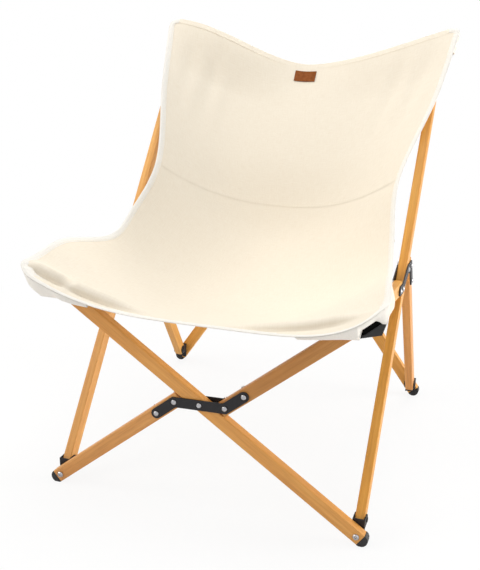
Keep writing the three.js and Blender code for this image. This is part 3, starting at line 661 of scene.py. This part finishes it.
# Rear of the seat panel, with a tongue that runs under the front part, in two halves
def seat_rear_half(side, word):
    wide = columns[columns * side >= 0]
    seam, creases = seam_at(wide), crease_at(wide)
    tongue = FLAP_LONG / edge_long * (1 - np.abs(wide) ** 4)
    across, along = patch(wide, seam - lap / 2, creases + tongue, SEAT_ROWS // 2)
    under = -FLAP_UNDER * smoothstep(along - creases[None], -ramp, 0)
    under -= LAP_LIFT * (1 - smoothstep(along - seam[None], lap / 2, 2 * lap))
    return sheet_piece(f"sling_seat_rear_{word}_cloth", across, along, canvas, under)


rear_sheets = {}
for side, word in SIDES:
    for make, node in ((back_half, "sling_back"), (seat_rear_half, "sling_seat")):
        made = make(side, word)
        tuck_with(made[0], side, word)
        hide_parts(node)
        rear_sheets[node, side] = made

# Front of the seat panel
across, along = patch(columns, crease_at(columns) - ramp, front_edge(columns), SEAT_ROWS)
front, front_size, front_area = sheet_piece("sling_seat_front_cloth", across, along, canvas)
fold_with(front, "right_arm")


# Round the rim: the right half from the top's middle to the hem's middle, across and along the sling
def rim_half():
    bend = np.linspace(0, math.pi / 2, 12)
    top_from, front_from = 1 - TOP_CORNER / half, 1 - FRONT_CORNER / half
    count = int(half / RIM_STEP)
    straight_top = np.linspace(0, top_from, count, endpoint=False)
    round_top = top_from + (1 - top_from) * np.sin(bend)
    sides = np.linspace(TOP_CORNER / edge_long, 1 - FRONT_CORNER / edge_long,
                        int(edge_long / RIM_STEP))[1:-1]
    round_front = front_from + (1 - front_from) * np.sin(bend[::-1])
    straight_front = np.linspace(front_from, 0, count)[1:]
    over = np.r_[straight_top, round_top]
    below = np.r_[round_front, straight_front]
    across = np.r_[over, np.ones_like(sides), below]
    along = np.r_[top_edge(over), sides, front_edge(below)]
    return across, along


half_across, half_along = rim_half()


def rim_frame(across, along):
    point = sling(across, along)
    out = facing(sling, across, along)
    run = unit(np.gradient(point, axis=0))
    inward = unit(np.cross(out, run))
    further_in = sling(across * 0.9, along * 0.98 + 0.01)
    turned = np.sign(np.einsum("ij,ij->i", inward, further_in - point))
    return point, out, run, inward * turned[:, None]


def tape_width(along):
    return TAPE_SIDE + (TAPE_FRONT - TAPE_SIDE) * smoothstep(along, *TAPE_WIDENS)


def on_top_hem(across, along):
    """Whether a place on the rim is on the plain hem between the top corners."""
    return (along < TOP_HEM / edge_long) & (np.abs(across) < 1 - TOP_CORNER / half)


def tape_piece(name, across, along):
    """A tape folded over the edge and pressed flat on both sides."""
    point, out, run, inward = rim_frame(across, along)
    wide = tape_width(along)
    on_top = on_top_hem(across, along)
    flat = CLOTH_THICK / 2
    # Half of the section, as shares of the width and heights, then its rounded edge and its other half
    section = [(1, flat * 0.6), (1, flat + 0.5 * TAPE_LIFT), (0.93, flat + TAPE_LIFT),
               (0.3, flat + TAPE_LIFT), (0.06, flat + 0.8 * TAPE_LIFT), (0, flat + 0.2 * TAPE_LIFT)]
    section = [(share, 0, height) for share, height in section]
    section += [(0, -TAPE_OVER * 0.8, flat * 0.7), (0, -TAPE_OVER, 0)]
    section += [(share, past, -height) for share, past, height in section[-2::-1]]
    rings, flats = [], []
    run_at = np.r_[0, np.cumsum(np.linalg.norm(np.diff(point, axis=0), axis=1))]
    for share, past, height in section:
        low = np.clip(height, -TOP_HEM_HIGH, TOP_HEM_HIGH)
        rise = np.where(on_top, low, height)
        rings.append(point + inward * (share * wide + past)[:, None] + out * rise[:, None])
        flats.append(np.stack([run_at, share * wide + past], -1))
    points, flats = np.stack(rings, 1), np.stack(flats, 1)
    count, size = points.shape[:2]
    faces = []
    for k in range(count - 1):
        for s in range(size):
            t = (s + 1) % size
            faces.append((k * size + s, k * size + t, (k + 1) * size + t, (k + 1) * size + s))
    faces.append(tuple(range(size - 1, -1, -1)))
    faces.append(tuple((count - 1) * size + s for s in range(size)))
    piece = new_piece(name, points.reshape(-1, 3), faces, tape, None, flats.reshape(-1, 2))
    outward_faces(piece)
    piece.data.set_sharp_from_angle(angle=TAPE_SHARP_FROM)
    piece.data.materials.append(canvas)
    for polygon in piece.data.polygons:
        if on_top[min(polygon.vertices) // size]:
            polygon.material_index = 1
    return piece


def outward_faces(piece):
    shell = bmesh.new()
    shell.from_mesh(piece.data)
    bmesh.ops.recalc_face_normals(shell, faces=shell.faces)
    shell.to_mesh(piece.data)
    shell.free()


def stitch_mesh(points, runs, outs):
    """Small grains of thread along a line."""
    shape, faces = [], []
    ring = STITCH_SIDES
    for point, run, out in zip(points, runs, outs):
        side = np.cross(out, run)
        start = len(shape)
        near, far, end = start + 1, start + 1 + ring, start + 1 + 2 * ring
        dip = out * STITCH_WIDE * STITCH_DIP
        shape.append(point - run * STITCH_LONG / 2 - dip)
        for place in (-STITCH_BODY, STITCH_BODY):
            for turn in range(ring):
                angle = math.tau * turn / ring
                offset = side * math.cos(angle) + out * math.sin(angle)
                shape.append(point + run * STITCH_LONG * place + offset * STITCH_WIDE)
        shape.append(point + run * STITCH_LONG / 2 - dip)
        for turn in range(ring):
            after = (turn + 1) % ring
            faces.append((start, near + after, near + turn))
            faces.append((near + turn, near + after, far + after, far + turn))
            faces.append((far + turn, far + after, end))
    return shape, faces


def evenly(points, extras):
    """Values read every stitch along a line of points."""
    lengths = np.r_[0, np.cumsum(np.linalg.norm(np.diff(points, axis=0), axis=1))]
    places = np.arange(STITCH_STEP / 2, lengths[-1], STITCH_STEP)
    return [np.stack([np.interp(places, lengths, values[:, i]) for i in range(3)], -1)
            for values in (points, *extras)]


def tape_stitches(name, across, along):
    point, out, run, inward = rim_frame(across, along)
    line = point + inward * (tape_width(along) - STITCH_IN)[:, None]
    on_tape = CLOTH_THICK / 2 + TAPE_LIFT
    height = np.where(on_top_hem(across, along), TOP_HEM_HIGH - SEAM_SUNK, on_tape)
    line = line + out * height[:, None]
    points, outs, runs = evenly(line, (out, run))
    shape, faces = stitch_mesh(points, unit(runs), unit(outs))
    return new_piece(name, shape, faces, thread)


def seam_rows(side):
    """Two rows of stitches along the seam between back and seat."""
    inner = np.linspace(*SEAM_SPAN, 80) * side
    shape, faces = [], []
    for offset in SEAM_ROWS_AT:
        along = seam_at(inner) + offset * lap
        point, out = sling(inner, along), facing(sling, inner, along)
        line = point + out * (LAP_LIFT + CLOTH_THICK / 2 - SEAM_SUNK)
        points, outs, runs = evenly(line, (out, unit(np.gradient(point, axis=0))))
        row, row_faces = stitch_mesh(points, unit(runs), unit(outs))
        faces += [tuple(v + len(shape) for v in face) for face in row_faces]
        shape += row
    return shape, faces


crease_side = float(crease_at(1.0))
behind_crease = half_along <= crease_side
before_crease = half_along >= crease_side - RIM_STEP / edge_long
rear_trim = {}
for side, word in SIDES:
    rim = side * half_across[behind_crease], half_along[behind_crease]
    binding = tape_piece(f"sling_tape_rear_{word}", *rim)
    stitches = tape_stitches(f"sling_tape_rear_{word}_stitches", *rim)
    seam_stitches = new_piece(f"sling_seam_{word}_stitches", *seam_rows(side), thread)
    rear_trim[side] = [binding, stitches, seam_stitches]
    for piece, slot in zip(rear_trim[side], ("binding", "binding", "canvas")):
        tuck_with(piece, side, word)
    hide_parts("sling_binding")

front_rim = [np.r_[part, sign * part[-2::-1]]
             for part, sign in ((half_across[before_crease], -1), (half_along[before_crease], 1))]
front_trim = [tape_piece("sling_tape_front", *front_rim),
              tape_stitches("sling_tape_front_stitches", *front_rim)]
for piece in front_trim:
    fold_with(piece, "right_arm")

# Bare leather label on the back, below the top hem
label_across = np.linspace(-1, 1, LABEL_COLUMNS) * LABEL_WIDE / 2 / top_half
label_from = LABEL_DROP / middle_long
label_along = label_from + np.linspace(0, 1, LABEL_ROWS) * LABEL_HIGH / middle_long
across, along = np.meshgrid(label_across, label_along)
label_lift = np.full_like(across, CLOTH_THICK / 2 + LABEL_THICK / 2)
label, *_ = sheet_piece("sling_label_leather", across, along, hide, label_lift, LABEL_THICK)
tuck_with(label, *SIDES[0])
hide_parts("sling_label")
rear_trim[1].append(label)

for (node, side), (piece, size, area) in rear_sheets.items():
    word = dict(SIDES)[side]

# Hoods over the post tops: a pouch that leaves the sling at its top and outer edges
rear_bar = unit(top_pin - rear_pin)
rear_out = unit(np.cross(rear_bar, np.array([1.0, 0, 0])))
rear_out = rear_out * np.sign(rear_out[1])


def pouch_ramp(share):
    """Rises steeply from an edge and levels off."""
    return (1 - (1 - np.clip(share, 0, 1)) ** 4) ** 0.25


def hood_grid(side):
    """The pouch from its inner side round the post to the sling's edge, and its lining back."""
    inner = (half - HOOD_INNER) / top_half
    ends = np.linspace(0, 1, HOOD_COLUMNS + 1) ** 0.8
    lining = np.r_[np.zeros(HOOD_COLUMNS + 1), np.ones(HOOD_COLUMNS)]
    down = np.linspace(1, 0, HOOD_ROWS + 1) ** 1.4
    out_and_back = inner + (1 - inner) * np.r_[ends, ends[-2::-1]]
    across, along = np.meshgrid(out_and_back, (HOOD_DEEP / edge_long) * down)
    along = np.maximum(along, top_edge(across))
    out = facing(sling, across * side, along)
    base = sling(across * side, along) - out * CLOTH_THICK / 2
    depth = HOOD_BACK - (base - top_pin) @ rear_out
    to_mouth = along * edge_long / HOOD_DEEP
    from_edge = (1 - across) * half
    outer = pouch_ramp(from_edge / (HOOD_RISE * (1 + HOOD_FLARE * to_mouth)))
    upper = pouch_ramp((along - top_edge(across)) * edge_long / HOOD_RISE_TOP)
    wave = HOOD_WAVE * np.sin(across * HOOD_WAVES[0] + along * HOOD_WAVES[1]) * outer * upper
    pouch = (depth * outer * upper + wave) * (1 - lining)
    from_inner = (across - inner) * half
    sunk = (LINING_GAP + LINING_SUNK) * (1 - smoothstep(from_inner, 0, LINING_SUNK_OVER))
    behind = (LINING_GAP * smoothstep(from_edge, 0, LINING_FROM) - sunk) * lining
    return base + rear_out * pouch[..., None] - out * behind[..., None]


# Sleeves round the seat arms: the canvas turns down over the arm and comes back up inside it
arm_way = unit(corner_pin - hub)
sleeve_middle = node_points("sling_sleeve_right").mean(0)


def arm_at(y):
    """The height of the right seat arm's middle, from its cloth sleeve's own solid."""
    return sleeve_middle[2] + (y - sleeve_middle[1]) * arm_way[2] / arm_way[1]


def sleeve_grid(side):
    tries = np.linspace(0.7, 1.0, 600)
    rim_y = stretched(side * np.ones_like(tries), tries)[:, 1]
    shares = np.linspace(0, 1, SLEEVE_TURNS + 1)
    lines = []
    for k, y in enumerate(np.linspace(*SLEEVE_ENDS, SLEEVE_STATIONS + 1)):
        along = np.interp(-y, -rim_y, tries)
        held = sling(side * np.array(SLEEVE_HELD), np.array([along, along])) - SLEEVE_DROP * UP
        z = arm_at(y)
        below = [np.array([side * (half + a * MM), y, z + b * MM]) for a, b in SLEEVE_PATH]
        at, _ = drawn_line([held[0], *below, held[1]], LINE_STEPS)
        wave = SLEEVE_WAVE * np.sin(k * SLEEVE_WAVES[0] + shares * SLEEVE_WAVES[1])
        wave = wave * np.sin(shares * math.pi)
        lines.append(at(shares) + np.outer(wave, np.array([side, 0, 0])))
    return np.array(lines)


# Pockets under the front corners: a wall below the hem, cut out for the shoe on the side in view,
# and a sheet that turns under the front bar's end and back up behind it
bar_end = np.array(pins["front_swing"])


def hem_at(side, x):
    across = x / edge_at(np.array(float(side)), np.array(1.0))[0]
    return sling(side * across, front_edge(across)) - HEM_DROP * UP


def wall_low(side, x):
    """The wall's lower edge, always a little below the hem."""
    places, heights = np.array(WALL_LOW[side]).T * MM
    z = bar_end[2] + np.interp(x, places, heights)
    z = np.minimum(z, hem_at(side, x)[:, 2] - WALL_LEAST)
    y = bar_end[1] - WALL_AHEAD - HEM_AHEAD[side] * (1 - smoothstep(x, HEM_FROM, HEM_TO))
    return np.stack([side * x, y, z], -1)


def lofted(rails, count):
    """A grid of points along smooth lines through each column of rails."""
    shares = np.linspace(0, 1, count + 1)
    return np.stack([drawn_line(column, LINE_STEPS)[0](shares) for column in np.stack(rails, 1)], 1)


def wall_grid(side):
    even = np.linspace(POCKET_FROM[side], WALL_TO, WALL_COLUMNS)
    x = np.unique(np.r_[even, POCKET_TO - WALL_NOTCH, POCKET_TO])
    hem, low = hem_at(side, x), wall_low(side, x)
    middle = hem * (1 - WALL_BEND) + low * WALL_BEND + np.array(WALL_BULGE) * MM
    return lofted([hem, middle, low], WALL_ROWS)


def pocket_grid(side):
    x = np.linspace(POCKET_FROM[side], POCKET_TO - POCKET_SHORT, POCKET_COLUMNS)
    low = wall_low(side, x)
    tries = np.linspace(0.8, 1.0, 200)
    strips = [sling(np.full_like(tries, side * a), tries) for a in x / top_half]
    ends = []
    for back_by in (POCKET_DEEP, POCKET_DEEP + POCKET_LAP):
        y = bar_end[1] - WALL_AHEAD + back_by
        ends.append(np.array([[s[0, 0], y, np.interp(-y, -s[:, 1], s[:, 2])] for s in strips]))
    under = low + np.array(POCKET_UNDER) * MM
    behind = low + np.array([0, POCKET_DEEP, POCKET_RISE])
    behind[:, 2] = np.minimum(behind[:, 2], ends[0][:, 2] - POCKET_CLEAR)
    return lofted([low, under, behind, ends[1] - POCKET_END * UP], POCKET_ROWS)


for side, word in SIDES:
    hood, size, area = loose_sheet(f"sling_hood_{word}_cloth", hood_grid(side), canvas)
    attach(hood, f"{word}_post")
    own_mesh(hood)
    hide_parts(f"sling_hood_{word}")
    sleeve, size, area = loose_sheet(f"sling_sleeve_{word}_cloth", sleeve_grid(side), canvas)
    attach(sleeve, f"{word}_arm")
    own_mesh(sleeve)
    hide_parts(f"sling_sleeve_{word}")
    pockets = {"wall": wall_grid(side)}
    if side > 0:
        pockets["under"] = pocket_grid(side)
    for name, grid in pockets.items():
        pocket, size, area = loose_sheet(f"sling_pocket_{word}_{name}", grid, tape)
        fold_with(pocket, "right_arm")


# Finish of the bars, plates, bolts and caps
def bar_way(name):
    """The way that a bar runs."""
    points = node_points(name)
    return np.linalg.svd(points - points.mean(0), full_matrices=False)[2][0]


def break_corners(piece, width):
    bevel = piece.modifiers.new("broken_corners", "BEVEL")
    bevel.width = width
    bevel.segments = 2
    bevel.limit_method = "ANGLE"
    bevel.angle_limit = BEVEL_FROM


def dressed(name):
    """A copy of a hard node, its corners broken if its slot is steel or plastic, and its rounds shaded
    smooth.
    """
    node = frame["nodes"][name]
    mesh = node.data.copy()
    shell = bmesh.new()
    shell.from_mesh(mesh)
    bmesh.ops.remove_doubles(shell, verts=shell.verts, dist=SAME_POINT)
    bmesh.ops.dissolve_limit(shell, angle_limit=FLAT_WITHIN, verts=shell.verts, edges=shell.edges)
    shell.to_mesh(mesh)
    shell.free()
    mesh.materials.clear()
    piece = bpy.data.objects.new(f"{name}_finish", mesh)
    bpy.context.scene.collection.objects.link(piece)
    slot = slots[name]
    if slot in BEVEL:
        break_corners(piece, BEVEL[slot])
    piece.modifiers.new("flat_faces", "WEIGHTED_NORMAL")
    mesh.shade_smooth()
    mesh.set_sharp_from_angle(angle=SHARP_FROM)
    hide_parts(name)
    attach(piece, node["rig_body"])
    return piece


seed = 1
for name in sorted(frame["nodes"]):
    slot = slots[name]
    if slot == "wood":
        # A bar's tone can carry painted shade: the front bar's upper half is darkened for the seat's
        # shadow over it
        tone = BAR_TONES_AND_SHADE.get(name, PLAIN_TONE)
        dressed(name).data.materials.append(wood(f"wood_{name}", bar_way(name), seed, tone))
        seed += 1
    elif slot in plain_looks:
        # The seat corner shoes take the near-black plastic as painted shade for the recess above their
        # lips
        look = painted_shade_black if name.startswith("seat_corner_shoe") else plain_looks[slot]
        dressed(name).data.materials.append(look)


# Bright rivet heads on the hub plates
def rivet_tips(node, out):
    """The outermost points of a hub plate's node, one for each rivet."""
    points = node_points(node)
    high = points @ out
    found = []
    for tip in points[high > high.max() - RIVET_TIP]:
        if all(np.linalg.norm(tip - other) > RIVET_RADIUS for other in found):
            found.append(tip)
    return found


def rivet_piece(name, tips, out):
    """Domes with their feet in the plate."""
    side = unit(np.cross(out, np.array([0.3, 0.5, 0.8])))
    other = np.cross(out, side)
    rises = np.linspace(0, math.pi / 2, RIVET_RINGS + 1)[:-1]
    turns = RIVET_TURNS
    dome = RIVET_HIGH + RIVET_PROUD
    points, faces = [], []
    for tip in tips:
        base = len(points)
        foot = tip - out * RIVET_HIGH
        for rise in rises:
            for t in range(turns):
                angle = math.tau * t / turns
                spread = side * math.cos(angle) + other * math.sin(angle)
                points.append(foot + spread * math.cos(rise) * RIVET_RADIUS + out * math.sin(rise) * dome)
        points.append(foot + out * dome)
        points.append(foot - out * RIVET_SUNK)
        peak, under = len(points) - 2, len(points) - 1
        for ring in range(RIVET_RINGS - 1):
            for t in range(turns):
                u = (t + 1) % turns
                a, b = base + ring * turns, base + (ring + 1) * turns
                faces.append((a + t, a + u, b + u, b + t))
        last = base + (RIVET_RINGS - 1) * turns
        for t in range(turns):
            u = (t + 1) % turns
            faces.append((last + t, last + u, peak))
            faces.append((base + u, base + t, under))
    piece = new_piece(name, points, faces, plated)
    outward_faces(piece)
    return piece


joint_axes = {joint["name"]: unit(np.array(joint["axis"])) for joint in frame["joints"]}
front_out = -joint_axes["front_cross"] * np.sign(joint_axes["front_cross"][1])
rear_hub_out = joint_axes["rear_cross"] * np.sign(joint_axes["rear_cross"][1])
hub_axes = {"front": ("front_split", front_out), "rear": ("rear_split", rear_hub_out),
            "right": ("right_arm", np.array([1.0, 0, 0])),
            "left": ("left_arm", np.array([-1.0, 0, 0]))}
for word, (body, axis) in hub_axes.items():
    for layer, out in (("outer", axis), ("inner", -axis)):
        tips = rivet_tips(f"{word}_hub_plate_{layer}", out)
        rivets = rivet_piece(f"{word}_hub_rivets_{layer}", tips, out)
        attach(rivets, body)


# Raised lip on the lower part of each seat corner shoe
def shoe_lip(side, word):
    """A low plate on the front face of a shoe."""
    shoe = f"seat_corner_shoe_{word}"
    face_at = (node_points(shoe) @ front_out).max()
    rings = []
    for level in (face_at - LIP_SUNK, face_at + LIP_HIGH):
        for out, up in LIP_OUTLINE:
            x, z = side * (bar_end[0] + out * MM), bar_end[2] + up * MM
            rings.append((x, (level - front_out[0] * x - front_out[2] * z) / front_out[1], z))
    count = len(LIP_OUTLINE)
    faces = [tuple(range(count)), tuple(range(count, 2 * count))]
    faces += [(k, (k + 1) % count, count + (k + 1) % count, count + k) for k in range(count)]
    piece = new_piece(f"{shoe}_lip", rings, faces, moulded, smooth=False)
    outward_faces(piece)
    break_corners(piece, BEVEL["black_plastic"])
    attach(piece, frame["nodes"][shoe]["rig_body"])


for side, word in SIDES:
    shoe_lip(side, word)

# White studio: a pale floor that keeps a faint shadow, and soft light from all round
floor_mesh = bpy.data.meshes.new("floor")
floor_corners = [(x * FLOOR_REACH, y * FLOOR_REACH, 0) for x, y in ((-1, -1), (1, -1), (1, 1), (-1, 1))]
floor_mesh.from_pydata(floor_corners, [], [(0, 1, 2, 3)])
floor = bpy.data.objects.new("floor", floor_mesh)
bpy.context.scene.collection.objects.link(floor)
floor.location.z = -FLOOR_DROP
ground = Finish("pale_floor", (0.9, 0.9, 0.9, 1), 0.9, Specular_IOR_Level=0.1)
rays = ground.node("ShaderNodeLightPath")
white = ground.node("ShaderNodeEmission")
mix = ground.node("ShaderNodeMixShader")
place = ground.node("ShaderNodeTexCoord").outputs["Object"]
away = ground.node("ShaderNodeVectorMath", {"operation": "LENGTH"})
ground.link(place, away.inputs[0])
far = ground.node("ShaderNodeMapRange", {"interpolation_type": "SMOOTHSTEP"},
                  From_Min=FLOOR_NEAR, From_Max=FLOOR_FAR, To_Min=FLOOR_WHITE, To_Max=1.0)
ground.link(away.outputs["Value"], far.inputs["Value"])
whiteness = ground.maths("MULTIPLY", rays.outputs["Is Camera Ray"], far.outputs["Result"])
ground.link(whiteness, mix.inputs["Fac"])
ground.link(ground.shader.outputs["BSDF"], mix.inputs[1])
ground.link(white.outputs["Emission"], mix.inputs[2])
ground.link(mix.outputs["Shader"], ground.tree.nodes["Material Output"].inputs["Surface"])
floor_mesh.materials.append(ground.material)

world = bpy.data.worlds.new("studio")
bpy.context.scene.world = world
world.use_nodes = True
nodes, links = world.node_tree.nodes, world.node_tree.links
sky = nodes["Background"]
sky.inputs["Color"].default_value = (1, 1, 1, 1)
paths = nodes.new("ShaderNodeLightPath")
seen = paths.outputs["Is Camera Ray"]
for ray in ("Is Glossy Ray", "Is Transmission Ray"):
    either = nodes.new("ShaderNodeMath")
    either.operation = "ADD"
    links.new(seen, either.inputs[0])
    links.new(paths.outputs[ray], either.inputs[1])
    seen = either.outputs["Value"]
strength = nodes.new("ShaderNodeMapRange")
strength.inputs["To Min"].default_value = SKY_LIGHT
strength.inputs["To Max"].default_value = 1.0
links.new(seen, strength.inputs["Value"])
links.new(strength.outputs["Result"], sky.inputs["Strength"])


def soft_light(name, place, size, power, colour):
    lamp = bpy.data.lights.new(name, "AREA")
    lamp.shape = "DISK"
    lamp.size = size
    lamp.energy = power
    lamp.color = colour
    light = bpy.data.objects.new(name, lamp)
    light.location = place
    light.rotation_euler = (Vector(LIGHT_AIM) - Vector(place)).to_track_quat("-Z", "Y").to_euler()
    bpy.context.scene.collection.objects.link(light)


for light in LIGHTS:
    soft_light(*light)

lens = bpy.data.cameras.new("camera")
lens.sensor_fit = "AUTO"
lens.sensor_width = SENSOR
lens.lens = FOCAL_PX * SENSOR / IMAGE_H
camera = bpy.data.objects.new("camera", lens)
camera.location = (CAMERA_SIDE, foot_pin[1] - CAMERA_AHEAD, CAMERA_HIGH)
turn = Matrix.Rotation(CAMERA_YAW, 3, "Z") @ Matrix.Rotation(math.pi / 2 - CAMERA_PITCH, 3, "X")
camera.rotation_euler = (turn @ Matrix.Rotation(CAMERA_ROLL, 3, "Z")).to_euler()
bpy.context.scene.collection.objects.link(camera)
bpy.context.scene.camera = camera
bpy.context.scene.view_settings.view_transform = "Standard"
